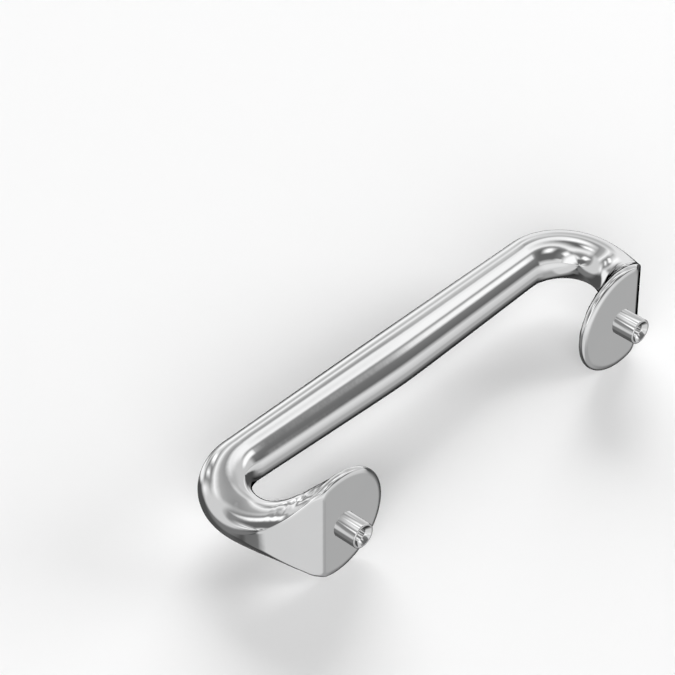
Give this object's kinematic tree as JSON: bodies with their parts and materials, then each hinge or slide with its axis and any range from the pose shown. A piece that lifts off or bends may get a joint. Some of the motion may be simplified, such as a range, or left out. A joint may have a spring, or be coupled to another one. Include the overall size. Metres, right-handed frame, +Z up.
{
  "type": "bar pull",
  "caption": "Cast bar pull: a bar that tapers from its middle, tight bends, D-shaped pads with hammered inner faces, and tapped posts to screw it on by.",
  "frame": {"origin": "on the mounting face, midway between the two posts", "axes": "+X along the bar, +Y out from the mounting face towards the hand, +Z up"},
  "size_m": [0.1344, 0.0427, 0.0276],
  "materials": {
    "pull_chrome": "polished bright chrome on a zinc casting",
    "post_chrome": "bright chrome on turned steel"
  },
  "bodies": {
    "root": {"pull_body": "pull_chrome", "left_post": "post_chrome", "right_post": "post_chrome"}
  },
  "joints": []
}
